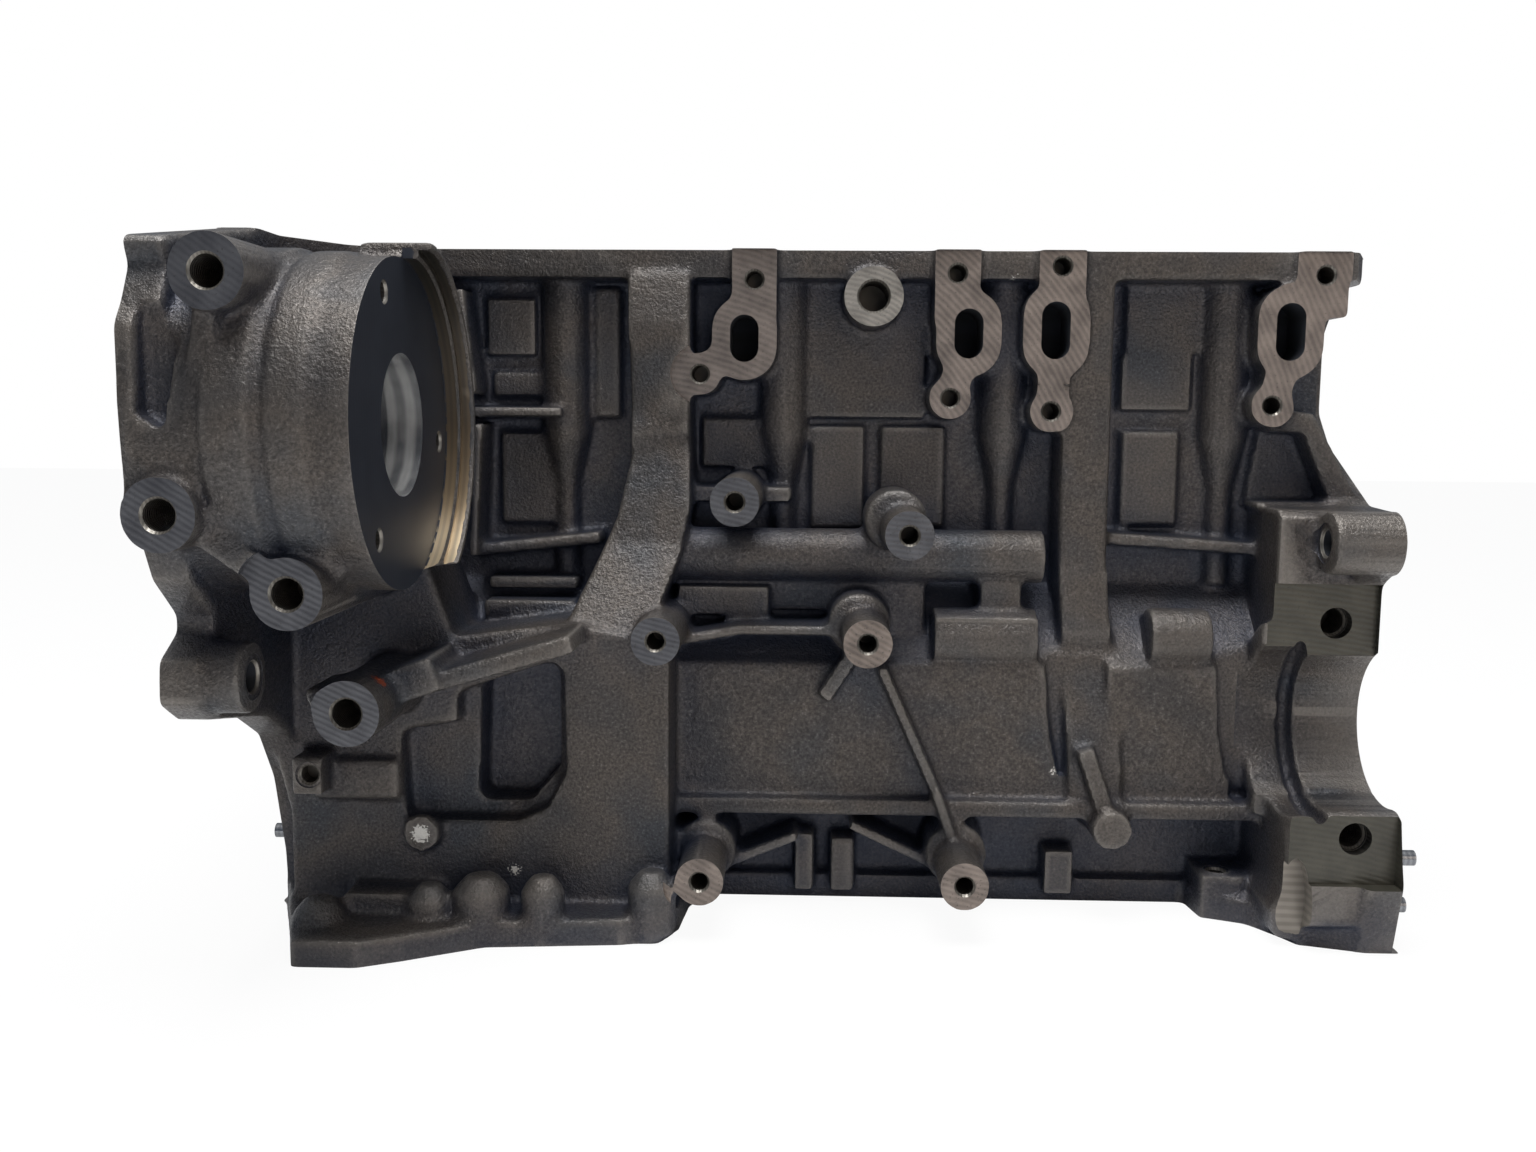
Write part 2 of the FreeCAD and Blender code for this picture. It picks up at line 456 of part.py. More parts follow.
# starter trough, open to the left past a wider ring and a groove
STARTER_AXIS = ("-118", "28")
solid.append(common("starter_ring",
                    rod("starter_ring_form", "X", STARTER_AXIS, "192", "203", "starter_radius + 12"),
                    box("starter_ring_room", ("192", "203"), ("-101", SKIRT), ("-14", "70"))))
for name, low, high, wider in (("trough", "210", "rear_end + 1", "0"), ("groove", "206", "211", "6"),
                               ("mouth", "189", "207", "3")):
    void.append(rod("starter_" + name, "X", STARTER_AXIS, low, high, "starter_radius + " + wider))
solid.append(plate("rear_gusset", "Y", [("194", "111"), ("rear_end", "111"), ("216", "150"), ("200", "152")],
                   "-jacket_half - 20", JACKET))
void.append(plate("gusset_hollow", "Y", [("193", "114"), ("224", "114"), ("212", "142"), ("193", "143")],
                  "-jacket_half - 21", "-jacket_half - 4"))
lip_outline = [("202", "-20"), ("196", "-37"), ("193", "-43"), ("195", "-54"), ("206", "-56"),
               ("208", "-22")]
solid.append(plate("rear_lip", "Y", lip_outline, "-127", SKIRT))
for name, plane, up in (("upper", "-101", "67"), ("lower", "-132", "-12")):
    void.append(rod("starter_hole_" + name, "Y", ("222", up), plane + " - 1", plane + " + 6",
                    "twelve_thread + 1.1"))
    void.append(rod("starter_thread_" + name, "Y", ("222", up), plane + " + 5", plane + " + thread_depth",
                    "twelve_thread"))

# ---------------------------------------------------------------- casting: far side
for number, across in enumerate(CYLINDERS, start=1):
    solid.append(rod("core_ring_%d" % number, "Y", (across, "core_up"), FAR, "jacket_half + 6",
                     "core_radius + 5"))
    void.append(rod("core_bore_%d" % number, "Y", (across, "core_up"), "bore_radius + barrel_wall + 1",
                    "jacket_half + 7", "core_radius"))
FAR_BOSSES = [("-92", "30"), ("-20", "30"), ("120", "30"), ("-92", "110"), ("0", "110"), ("92", "110")]
for number, centre in enumerate(FAR_BOSSES, start=1):
    solid.append(rod("far_boss_%d" % number, "Y", centre, FAR, "far_plane", "far_boss_radius"))
    tapped("far_thread_%d" % number, "Y", centre, "far_plane", "-", "thread_depth",
           "far_thread_radius")
for number, row in enumerate(BOLT_ROWS[1:4], start=1):
    solid.append(plate("far_rib_%d" % number, "X",
                       [(FAR, "100"), (FAR + " + 10", "100"), ("96", "50"), ("96", "-48"), (FAR, "-48")],
                       row + " - 3", row + " + 3"))

# ---------------------------------------------------------------- casting: inside
jacket_outer = []
jacket_inner = []
for number, across in enumerate(CYLINDERS, start=1):
    jacket_outer.append(rod("jacket_outer_%d" % number, "Z", (across, "0"), "deck_height - jacket_depth",
                            "deck_height - jacket_cover", "bore_radius + barrel_wall + jacket_gap"))
    jacket_inner.append(rod("jacket_inner_%d" % number, "Z", (across, "0"), "deck_height - jacket_depth - 1",
                            "deck_height - jacket_cover + 1", "bore_radius + barrel_wall"))
    void.append(rod("bore_%d" % number, "Z", (across, "0"), "30", "deck_height + 1", "bore_radius"))
void.append(cut("water_jacket", fuse("jacket_outer", jacket_outer), fuse("jacket_inner", jacket_inner)))
# four crank bays between the five bulkheads, and the chain room behind the last
bay_outline = [("case_wall - case_half", "-1"), ("case_wall - case_half", "-6"),
               ("case_wall - skirt_half", "-21"), ("case_wall - skirt_half", "-rail_depth - 1"),
               ("skirt_half - case_wall", "-rail_depth - 1"), ("skirt_half - case_wall", "-21"),
               ("case_half - case_wall", "-6"), ("case_half - case_wall", "-1")]
for number, across in enumerate(CYLINDERS, start=1):
    half = "(bore_pitch - bulkhead_thickness) / 2"
    reach = (across + " - " + half, across + " + " + half)
    upper = common("bay_arch_%d" % number,
                   rod("bay_round_%d" % number, "X", ("0", "0"), reach[0], reach[1], "case_half - case_wall"),
                   box("bay_above_%d" % number, reach, ("-case_half", "case_half"), ("-2", "case_half")))
    void.append(upper)
    void.append(plate("bay_opening_%d" % number, "X", bay_outline, reach[0], reach[1]))
for number, row in enumerate(BOLT_ROWS, start=1):
    wide = "cap_width / 2"
    half = "bulkhead_thickness / 2"
    void.append(box("cap_seat_%d" % number, (row + " - " + half + " - 1", row + " + " + half + " + 1"),
                    ("-" + wide, wide), ("-rail_depth - 1", "0")))
    for side in SIDES:
        mark = "%d%s" % (number, "a" if side else "b")
        tapped("cap_thread_" + mark, "Z", (row, side + "cap_bolt_offset"), "0", "+", "cap_bolt_grip",
               "cap_bolt_radius")
        tapped("head_thread_" + mark, "Z", (row, side + "head_bolt_offset"), "deck_height", "-",
               "head_bolt_depth", "head_bolt_radius")
        if number < 5:
            tapped("water_hole_" + mark, "Z", (row + " + bore_pitch / 2", side + "water_hole_offset"),
                   "deck_height", "-", "(jacket_cover + 1)", "water_hole_radius")
void.append(rod("crank_tunnel", "X", ("0", "0"), "-front_end - 1", "rear_end + 1", "main_radius"))
void.append(rod("front_seal_bore", "X", ("0", "0"), "-front_end - 1", "9 - front_end", "seal_radius"))
void.append(rod("rear_seal_bore", "X", ("0", "0"), "rear_end - end_wall - 1", "rear_end + 1", "seal_radius"))
chain = ("2 * bore_pitch + 12", "2 * bore_pitch + 12 + chain_room")
void.append(box("chain_room", chain, ("-seal_radius", "seal_radius"), ("-rail_depth - 1", "deck_height + 1")))
for name, row, side in DECK_DOWELS:
    void.append(rod("deck_dowel_seat_" + name, "Z", (row, side + "head_bolt_offset"),
                    "deck_height - dowel_length / 2", "deck_height + 1", "dowel_radius"))
for name, face, outward, centre in END_PINS:
    tapped("end_pin_hole_" + name, "X", centre, face, "+" if outward == "-" else "-", "pin_sunk",
           "pin_radius")

# ---------------------------------------------------------------- casting: all together
cored = cut("cored_casting", fuse("casting_forms", solid), fuse("casting_voids", void))
casting = cut("cylinder_block", cored, fuse("drilled_holes", drilled))
casting.Label = "cylinder_block"
# the faces stay as they were cut, because merging them fails where the ribs cross
for stage in (cored, casting):
    stage.Refine = False
parts = [casting]

# ---------------------------------------------------------------- main bearing caps and bolts
for number, row in enumerate(BOLT_ROWS, start=1):
    wide = "cap_width / 2"
    reach = (row + " - cap_thickness / 2", row + " + cap_thickness / 2")
    body = box("cap_body_%d" % number, reach, ("-" + wide, wide), ("-cap_height", "0"))
    voids = [rod("cap_arch_%d" % number, "X", ("0", "0"), reach[0] + " - 1", reach[1] + " + 1",
                 "main_radius")]
    bolts = []
    for side in SIDES:
        mark = "%d%s" % (number, "a" if side else "b")
        centre = (row, side + "cap_bolt_offset")
        voids.append(rod("cap_hole_" + mark, "Z", centre, "-cap_height - 1", "1",
                         "cap_bolt_radius + cap_bolt_clearance"))
        bolts.append(rod("cap_bolt_shank_" + mark, "Z", centre, "-cap_height - 1", "cap_bolt_grip - 3",
                         "cap_bolt_radius"))
        bolts.append(rod("cap_bolt_head_" + mark, "Z", centre, "-cap_height - cap_head_height",
                         "-cap_height", "cap_head_radius"))
    cap = cut("main_cap_%d" % number, body, fuse("cap_voids_%d" % number, voids))
    cap.Label = "main_bearing_cap_%d" % number
    pair = fuse("cap_bolts_%d" % number, bolts)
    pair.Label = "main_cap_bolts_%d" % number
    parts += [cap, pair]

# ---------------------------------------------------------------- plugs and dowels
for number, across in enumerate(CYLINDERS, start=1):
    face = "jacket_half + 5"
    cup = cut("core_cup_%d" % number,
              rod("core_outer_%d" % number, "Y", (across, "core_up"), face + " - core_depth", face,
                  "core_radius"),
              rod("core_inner_%d" % number, "Y", (across, "core_up"), face + " - core_depth + core_wall",
                  face + " + 1", "core_radius - core_wall"))
    cup.Label = "core_plug_%d" % number
    parts.append(cup)
for name, low, high in (("front", "1 - front_end", "1 - front_end + plug_length"),
                        ("rear", "rear_end - 1 - plug_length", "rear_end - 1")):
    plug = rod("gallery_plug_" + name, "X", MAIN_GALLERY, low, high, "plug_radius")
    plug.Label = "gallery_plug_" + name
    parts.append(plug)
for name, row, side in DECK_DOWELS:
    centre = (row, side + "head_bolt_offset")
    ring = cut("deck_ring_" + name,
               rod("deck_dowel_body_" + name, "Z", centre, "deck_height - dowel_length / 2",
                   "deck_height + dowel_length / 2", "dowel_radius"),
               rod("deck_dowel_hole_" + name, "Z", centre, "deck_height - dowel_length",
                   "deck_height + dowel_length", "dowel_radius - dowel_wall"))
    ring.Label = "deck_dowel_" + name
    parts.append(ring)
for name, face, outward, centre in END_PINS:
    low, high = ("%s - pin_sunk" % face, "%s + pin_out" % face)
    if outward == "-":
        low, high = ("%s - pin_out" % face, "%s + pin_sunk" % face)
    pin = rod("end_pin_" + name, "X", centre, low, high, "pin_radius")
    pin.Label = "dowel_pin_" + name
    parts.append(pin)

# ---------------------------------------------------------------- build, check, write
doc.recompute()
for item in doc.Objects:
    if "Invalid" in item.State or "Error" in item.State:
        raise RuntimeError("%s: %s" % (item.Name, item.State))
os.makedirs("parts", exist_ok=True)
for item in parts:
    shape = item.Shape
    if shape.isNull() or not shape.isValid():
        raise RuntimeError("%s has no valid shape" % item.Label)
    shape.exportStep("parts/%s.step" % item.Label)
    print(item.Label, len(shape.Solids), len(shape.Faces), round(shape.Volume / 1000), "cm3")
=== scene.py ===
import math
import bpy
from mathutils import Matrix, Vector


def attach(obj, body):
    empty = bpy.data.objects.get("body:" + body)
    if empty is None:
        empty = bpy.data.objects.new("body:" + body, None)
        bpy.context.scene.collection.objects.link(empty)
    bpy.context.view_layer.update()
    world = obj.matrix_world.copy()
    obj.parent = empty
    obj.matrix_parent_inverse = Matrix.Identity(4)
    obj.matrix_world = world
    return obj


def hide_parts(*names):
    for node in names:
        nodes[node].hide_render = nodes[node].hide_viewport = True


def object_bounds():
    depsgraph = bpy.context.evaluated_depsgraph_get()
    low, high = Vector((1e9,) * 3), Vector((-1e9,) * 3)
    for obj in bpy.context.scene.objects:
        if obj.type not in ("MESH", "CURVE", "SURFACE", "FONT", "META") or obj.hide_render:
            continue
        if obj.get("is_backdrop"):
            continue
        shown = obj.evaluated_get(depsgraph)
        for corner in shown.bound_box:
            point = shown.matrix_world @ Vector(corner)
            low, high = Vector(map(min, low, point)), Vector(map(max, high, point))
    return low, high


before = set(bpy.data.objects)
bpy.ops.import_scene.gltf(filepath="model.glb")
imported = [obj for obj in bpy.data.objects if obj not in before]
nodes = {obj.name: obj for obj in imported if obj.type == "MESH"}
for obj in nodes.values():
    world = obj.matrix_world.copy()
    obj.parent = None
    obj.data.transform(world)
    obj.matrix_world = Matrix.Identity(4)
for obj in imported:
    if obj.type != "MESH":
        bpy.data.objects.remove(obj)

cad_low, cad_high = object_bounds()


# ------------------------------------------------------------------ casting: sand-cast skin
# The block is one casting of grey iron, poured in sand, and its walls meet in round corners.
# So the solid gets machining stock on its faces and in its holes, is remeshed and relaxed,
# and is then faced, bored and drilled in the sections below, like the real one.
def colour(code):
    """A linear colour from an sRGB hex code."""
    parts = [int(code[start:start + 2], 16) / 255 for start in (1, 3, 5)]
    linear = [part / 12.92 if part <= 0.04045 else ((part + 0.055) / 1.055) ** 2.4 for part in parts]
    return (*linear, 1)


def per(length):
    """The scale of a texture that repeats about once in this many millimetres."""
    return 1000 / length


def add(tree, kind, inputs=None, **settings):
    """Adds one node with its settings and inputs; an input may be a socket or a value."""
    node = tree.nodes.new(kind)
    for name, value in settings.items():
        setattr(node, name, value)
    for name, value in (inputs or {}).items():
        if isinstance(value, bpy.types.NodeSocket):
            tree.links.new(value, node.inputs[name])
        else:
            node.inputs[name].default_value = value
    return node


def new_material(name):
    """A material with its shader and the piece's own coordinates."""
    material = bpy.data.materials.new(name)
    material.use_nodes = True
    tree = material.node_tree
    return material, tree, tree.nodes["Principled BSDF"], add(tree, "ShaderNodeTexCoord").outputs["Object"]


def ramp(tree, factor, *stops):
    """A colour ramp over a factor; each stop is a place and a hex code."""
    node = add(tree, "ShaderNodeValToRGB", {"Fac": factor})
    elements = node.color_ramp.elements
    while len(elements) < len(stops):
        elements.new(0.5)
    for element, (place, code) in zip(elements, stops):
        element.position = place
        element.color = colour(code)
    return node.outputs["Color"]


def noise(tree, coordinates, length, detail=2.0, roughness=0.5):
    """Noise with grains of about this many millimetres."""
    return add(tree, "ShaderNodeTexNoise", {"Vector": coordinates, "Scale": per(length), "Detail": detail,
                                            "Roughness": roughness}).outputs["Fac"]


def bump(tree, height, depth, normal=None):
    """A bump of this depth in millimetres."""
    inputs = {"Height": height, "Distance": depth / 1000, "Strength": 1.0}
    if normal:
        inputs["Normal"] = normal
    return add(tree, "ShaderNodeBump", inputs).outputs["Normal"]


def finish(tree, shader, **inputs):
    """Sets or links the shader's inputs by name, with _ for a space."""
    for name, value in inputs.items():
        socket = shader.inputs[name.replace("_", " ")]
        if isinstance(value, bpy.types.NodeSocket):
            tree.links.new(value, socket)
        else:
            socket.default_value = value


def mix(tree, factor, first, second, blend="MIX"):
    """Two colours mixed by a factor; each may be a socket or a hex code."""
    inputs = [colour(part) if isinstance(part, str) else part for part in (first, second)]
    return add(tree, "ShaderNodeMixRGB", {"Fac": factor, "Color1": inputs[0], "Color2": inputs[1]},
               blend_type=blend).outputs["Color"]


def level(tree, factor, low, high, start=0.0, end=1.0):
    """A factor stretched from low..high to start..end."""
    return add(tree, "ShaderNodeMapRange", {"Value": factor, "From Min": low, "From Max": high, "To Min": start,
                                            "To Max": end}).outputs["Result"]


# the marks of the sand in mm: oily patches, grains and clumps, and the depth of the last two
PATCH, GRAIN, CLUMP = 45, 1.1, 3.2
GRAIN_DEPTH, CLUMP_DEPTH = 0.5, 0.45
# how far the painted shade of a recess reaches from a wall, in metres, and how wavy the edge of a dab of paint
# is
PAINTED_SHADE_REACH = 0.05
DAB_WAVE, DAB_EDGE = 0.9, 0.0016
# painted shade for the recesses, rubbed edges with a painted highlight, and painted glints on the grain
RECESS_PAINTED_SHADE, RUBBED_EDGE_HIGHLIGHT, PAINTED_GRAIN_GLINT = "#2a3244", "#86817b", "#8b8884"
# dabs of inspection paint on the casting: place in mm, radius, colour
DABS = [((-141, -126, -18), 3.2, "#c4c2bd"), ((-105, -120.5, -34), 1.6, "#cfcdc8"),
        ((114, -93, 3), 1.4, "#cfcdc8"), ((93, -79, 204), 1.5, "#cfcdc8"),
        ((-143.3, -165, 51.2), 2.6, "#8f4329")]


def cast_skin(name, tones, dabs=()):
    """Sand-cast grey iron under a thin coat of oil: grainy with painted glints, painted shade in recesses,
    rubbed edges with a painted highlight.
    """
    material, tree, shader, place = new_material(name)
    patches = noise(tree, place, PATCH, 3)
    grain = noise(tree, place, GRAIN, 3, 0.65)
    clumps = noise(tree, place, CLUMP, 2)
    base = ramp(tree, patches, (0.32, tones[0]), (0.50, tones[1]), (0.68, tones[2]))
    skin = mix(tree, 0.65, base, ramp(tree, grain, (0.36, "#7c7c7c"), (0.56, "#ffffff")), "MULTIPLY")
    # light specks on the grain: painted glints
    skin = mix(tree, level(tree, grain, 0.60, 0.72, 0.0, 0.28), skin, PAINTED_GRAIN_GLINT)
    # ambient occlusion mixes a blue-black painted shade into the recesses
    painted_shade_mask = add(tree, "ShaderNodeAmbientOcclusion", {"Distance": PAINTED_SHADE_REACH}, samples=4).outputs["AO"]
    skin = mix(tree, level(tree, painted_shade_mask, 0.15, 0.80, 0.90, 0.0), skin, RECESS_PAINTED_SHADE)
    # convex edges are lightened: rubbed wear and a painted highlight
    edge_wear_and_highlight = add(tree, "ShaderNodeNewGeometry").outputs["Pointiness"]
    skin = mix(tree, level(tree, edge_wear_and_highlight, 0.505, 0.565, 0.0, 0.45), skin, RUBBED_EDGE_HIGHLIGHT)
    wavy = level(tree, noise(tree, place, DAB_WAVE, 3), 0.3, 0.7, -DAB_EDGE, DAB_EDGE)
    for centre, radius, code in dabs:
        reach = add(tree, "ShaderNodeVectorMath", {0: place, 1: tuple(part / 1000 for part in centre)},
                    operation="DISTANCE").outputs["Value"]
        edge = add(tree, "ShaderNodeMath", {0: reach, 1: wavy}, operation="ADD").outputs["Value"]
        inside = add(tree, "ShaderNodeMath", {0: edge, 1: radius / 1000},
                     operation="LESS_THAN").outputs["Value"]
        skin = mix(tree, inside, skin, code)
    relief = bump(tree, grain, GRAIN_DEPTH, bump(tree, clumps, CLUMP_DEPTH))
    finish(tree, shader, Base_Color=skin, Metallic=0.45, Roughness=level(tree, grain, 0.35, 0.65, 0.50, 0.28),
           Normal=relief)
    return material


def tool_lines(tree, place, pitch, extra, **settings):
    """Lines of a cutting tool, one in each pitch of millimetres; the texture repeats in tau / 20."""
    inputs = {"Vector": place, "Scale": math.tau * per(pitch) / 20, **extra}
    return add(tree, "ShaderNodeTexWave", inputs, **settings).outputs["Fac"]


def turned(name, light, dark, metallic, roughness, pitch=1.2, direction="X", depth=0.03):
    """Iron or steel turned along an axis, with the fine lines of the tool and a cloud of oil."""
    material, tree, shader, place = new_material(name)
    lines = tool_lines(tree, place, pitch, {"Distortion": 0.6, "Detail": 1.0}, wave_type="BANDS",
                       bands_direction=direction)
    cloud = noise(tree, place, 14, 2)
    shade = mix(tree, 0.5, ramp(tree, lines, (0.2, dark), (0.8, light)),
                ramp(tree, cloud, (0.35, dark), (0.65, light)))
    finish(tree, shader, Base_Color=shade, Metallic=metallic, Roughness=roughness,
           Normal=bump(tree, lines, depth))
    return material


# oily grey iron as it leaves the sand: dark, warm and cool patches
CAST = cast_skin("sand_cast_iron", ("#3a3838", "#4b4540", "#36383c"), DABS)
# tapped holes show their thread as light and dark rings, 1.5 mm apart
THREAD = turned("tapped_thread", "#5c5852", "#23211f", 0.7, 0.4, 1.5, "Y", 0.4)
# drilled holes are dull and nearly black
DRILLED = turned("drilled_hole", "#3c3a37", "#252321", 0.5, 0.5, 1.5, "Z", 0.1)
# the walls of the cast slots of the pads, and of the front lug and rear boss holes, are painted near black:
# painted shade
PAINTED_SHADE_HOLLOW = turned("slot_painted_shade", "#1a1e27", "#12151b", 0.0, 0.9, 9.0, "Z", 0.0)

# lengths from here on are in millimetres; the origin is on the crankshaft axis
VOXEL = 1.4
RELAX_STEPS = 8
SKIN_TRIANGLES = 165000
STOCK = 3
NEAR = 0.02
PITCH = 92
CYLINDERS = [PITCH * step for step in (-1.5, -0.5, 0.5, 1.5)]
ROWS = [PITCH * step for step in (-2, -1, 0, 1, 2)]
FRONT, REAR, DECK, RAIL = -205, 238, 214, -57
# screw bosses of the brackets, front mounts with their faces, and the sensor boss
BRACKETS = [(-47, 61.5), (-17, 115), (49, 103), (34, 61.5), (-30, -33), (73, -33)]
BRACKET_FACE = -134
MOUNTS = [((-174, 190), -228), ((-192, 115), -228), ((-157, 89), -216), ((-151, 42), -180)]
SENSOR, SENSOR_FACE = (36, 195), -92
PAD_FACE = -84
# the slotted pads: slot centre, foot and head; upper hole; lower lobe; reach across
PADS = [(-16, 169, 188, (-12, 202), (-34, 164), (-30.5, 0)), (75, 171, 191, (70, 205), (68, 155), (57, 91)),
        (110, 171, 194, (112, 208), (109, 150), (95, 125)), (204, 171, 194, (217, 205), (198, 153), (187, 230))]
PUMP = (-168, 143)
PUMP_FACE = -132
SEAT_RADIUS = 58
PUMP_BOLT_CIRCLE = 48
PUMP_BOLT_ANGLES = (112, 232, 352)
PUMP_WALL = 34
RAIL_BOSSES = [(-176, -143), (-135, -135), (-115, -134), (-91, -134), (-49, -129)]
# the starter pads: hole, face, levels; their holes are sunk before they are tapped
STARTER = [((222, 67), -101, (54, 83)), ((222, -12), -132, (-30, -1))]
SINK_DEPTH, SINK_RADIUS = 6, 6.3
FAR_BOSSES = [(-92, 30), (-20, 30), (120, 30), (-92, 110), (0, 110), (92, 110)]
FAR_FACE = 106
HEAD_BOLT_SIDE, WATER_SIDE = 48, 50.5
# radii of the holes, named by their screws
M8, M12, HEAD_BOLT, WATER, SENSOR_HOLE, FAR_SCREW = 3.4, 5.2, 5.5, 4.0, 6.0, 4.2
# single holes: side lug, rear foot, front lug and rear boss
SIDE_LUG, REAR_FOOT, FRONT_LUG, REAR_BOSS = (-181, 8), (182, -91), (-191, 57), (-112, 100)


def mm(*values):
    """Lengths in millimetres as metres."""
    return tuple(value / 1000 for value in values)


def choose(piece):
    """Selects one piece alone."""
    bpy.ops.object.select_all(action="DESELECT")
    piece.select_set(True)
    bpy.context.view_layer.objects.active = piece


def apply_modifier(piece, kind, **settings):
    """Adds one modifier to a piece with its settings and applies it."""
    choose(piece)
    modifier = piece.modifiers.new(kind.lower(), kind)
    for name, value in settings.items():
        setattr(modifier, name, value)
    bpy.ops.object.modifier_apply(modifier=modifier.name)


def settle(material=None):
    """Puts a new shape's place into its mesh and gives it a finish."""
    piece = bpy.context.active_object
    choose(piece)
    bpy.ops.object.transform_apply(location=True, rotation=True, scale=True)
    if material:
        piece.data.materials.append(material)
    return piece


def block(x, y, z, material=None):
    """A box between two coordinates on each axis."""
    centre = [(low + high) / 2 for low, high in (x, y, z)]
    size = [high - low for low, high in (x, y, z)]
    bpy.ops.mesh.primitive_cube_add(size=1, location=mm(*centre), scale=mm(*size))
    return settle(material)


TURNS = {"X": (0, math.pi / 2, 0), "Y": (-math.pi / 2, 0, 0), "Z": (0, 0, 0)}


def drum(axis, centre, start, end, radius, material=None, end_radius=None, sides=48):
    """A round bar or cone along an axis; its centre is given across that axis."""
    middle = (start + end) / 2
    where = {"X": (middle, *centre), "Y": (centre[0], middle, centre[1]), "Z": (*centre, middle)}[axis]
    end_radius = radius if end_radius is None else end_radius
    bpy.ops.mesh.primitive_cone_add(vertices=sides, radius1=radius / 1000, radius2=end_radius / 1000,
                                    depth=(end - start) / 1000, location=mm(*where), rotation=TURNS[axis])
    return settle(material)


def join(pieces):
    """Joins pieces into the first of them."""
    bpy.ops.object.select_all(action="DESELECT")
    for piece in pieces:
        piece.select_set(True)
    bpy.context.view_layer.objects.active = pieces[0]
    if len(pieces) > 1:
        bpy.ops.object.join()
    return pieces[0]


# blind holes: axis, centre across it, mouth, depth into the metal, radius, finish
holes = [("Y", centre, BRACKET_FACE, 24, M8, THREAD) for centre in BRACKETS]
holes += [("Y", centre, face, 24, M12, THREAD) for centre, face in MOUNTS]
holes += [("Y", SENSOR, SENSOR_FACE, 24, SENSOR_HOLE, THREAD)]
for _, _, _, upper, lobe, _ in PADS:
    holes += [("Y", upper, PAD_FACE, 16, M8, THREAD), ("Y", lobe, PAD_FACE, 16, M8, THREAD)]
for angle in PUMP_BOLT_ANGLES:
    spot = (PUMP[0] + PUMP_BOLT_CIRCLE * math.cos(math.radians(angle)),
            PUMP[1] + PUMP_BOLT_CIRCLE * math.sin(math.radians(angle)))
    holes.append(("X", spot, PUMP_FACE, -11, M8, DRILLED))
holes += [("Z", centre, RAIL, 16, M8, DRILLED) for centre in RAIL_BOSSES]
holes += [("Z", (row, side), DECK, -95, HEAD_BOLT, DRILLED) for row in ROWS
          for side in (-HEAD_BOLT_SIDE, HEAD_BOLT_SIDE)]
holes += [("Z", (across, side), DECK, -11, WATER, DRILLED) for across in CYLINDERS
          for side in (-WATER_SIDE, WATER_SIDE)]
holes += [("Y", centre, face + SINK_DEPTH, 18, M12, THREAD) for centre, face, _ in STARTER]
holes += [("Y", centre, FAR_FACE, -24, FAR_SCREW, THREAD) for centre in FAR_BOSSES]
holes += [("Z", REAR_FOOT, -39, -12, M8, DRILLED), ("Y", SIDE_LUG, -136, 8, M8, THREAD)]
# the holes of the front lug and rear boss take the near-black painted shade
holes += [("X", FRONT_LUG, -179, -25, M12, PAINTED_SHADE_HOLLOW), ("X", REAR_BOSS, 212, 25, M12, PAINTED_SHADE_HOLLOW)]

skin = nodes["cylinder_block"].copy()
skin.data = skin.data.copy()
skin.data.materials.clear()
skin.data.materials.append(CAST)
bpy.context.scene.collection.objects.link(skin)
skin.name = "casting"
choose(skin)
bpy.ops.object.mode_set(mode="EDIT")
bpy.ops.mesh.select_all(action="SELECT")
bpy.ops.mesh.remove_doubles(threshold=1e-6)
bpy.ops.object.mode_set(mode="OBJECT")

# the machined faces grow outwards by the stock: axis, place, direction
FACED = [(2, DECK, 1), (2, RAIL, -1), (0, FRONT, -1), (0, REAR, 1), (1, BRACKET_FACE, -1), (1, PAD_FACE, -1),
         (1, SENSOR_FACE, -1), (1, FAR_FACE, 1)]
FACED += [(1, face, -1) for face in (-228, -216, -180, -101, -132)]
for vertex in skin.data.vertices:
    for axis, place, sign in FACED:
        if abs(vertex.co[axis] * 1000 - place) < NEAR:
            vertex.co[axis] += sign * STOCK / 1000
pump_axis = Vector(mm(*PUMP))
for vertex in skin.data.vertices:
    across = (vertex.co.yz - pump_axis).length
    if abs(vertex.co.x * 1000 - PUMP_FACE) < NEAR and across < (SEAT_RADIUS + 0.1) / 1000:
        vertex.co.x += STOCK / 1000

# the holes are closed by plugs that stand past their ends and into their walls
PLUG_END, PLUG_WALL, PLUG_SIDES = 1.5, 1, 24
stock = []
for axis, centre, mouth, depth, radius, _ in holes:
    low, high = sorted((mouth, mouth + depth))
    stock.append(drum(axis, centre, low - PLUG_END, high + PLUG_END, radius + PLUG_WALL, sides=PLUG_SIDES))
stock += [drum("Y", centre, face, face + 8, 8, sides=PLUG_SIDES) for centre, face, _ in STARTER]
stock += [drum("Z", (across, 0), 100, DECK + STOCK, 46) for across in CYLINDERS]
stock += [block((across - 7, across + 7), (PAD_FACE - STOCK, PAD_FACE + 24), (foot - 1, head + 1))
          for across, foot, head, _, _, _ in PADS]
# bosses and pipes are true rounds: axis, centre, ends, radius
ROUNDS = [("X", FRONT_LUG, FRONT, -179, 12.5), ("X", REAR_BOSS, 212, REAR, 12.5),
          ("X", (-79, 90), -44, 108, 11)]
ROUNDS += [("Y", centre, BRACKET_FACE - STOCK, -70, 9.5) for centre in BRACKETS]
ROUNDS += [("Y", centre, face - STOCK, face + 50, 12) for centre, face in MOUNTS]
stock += [drum(*form, sides=64) for form in ROUNDS]
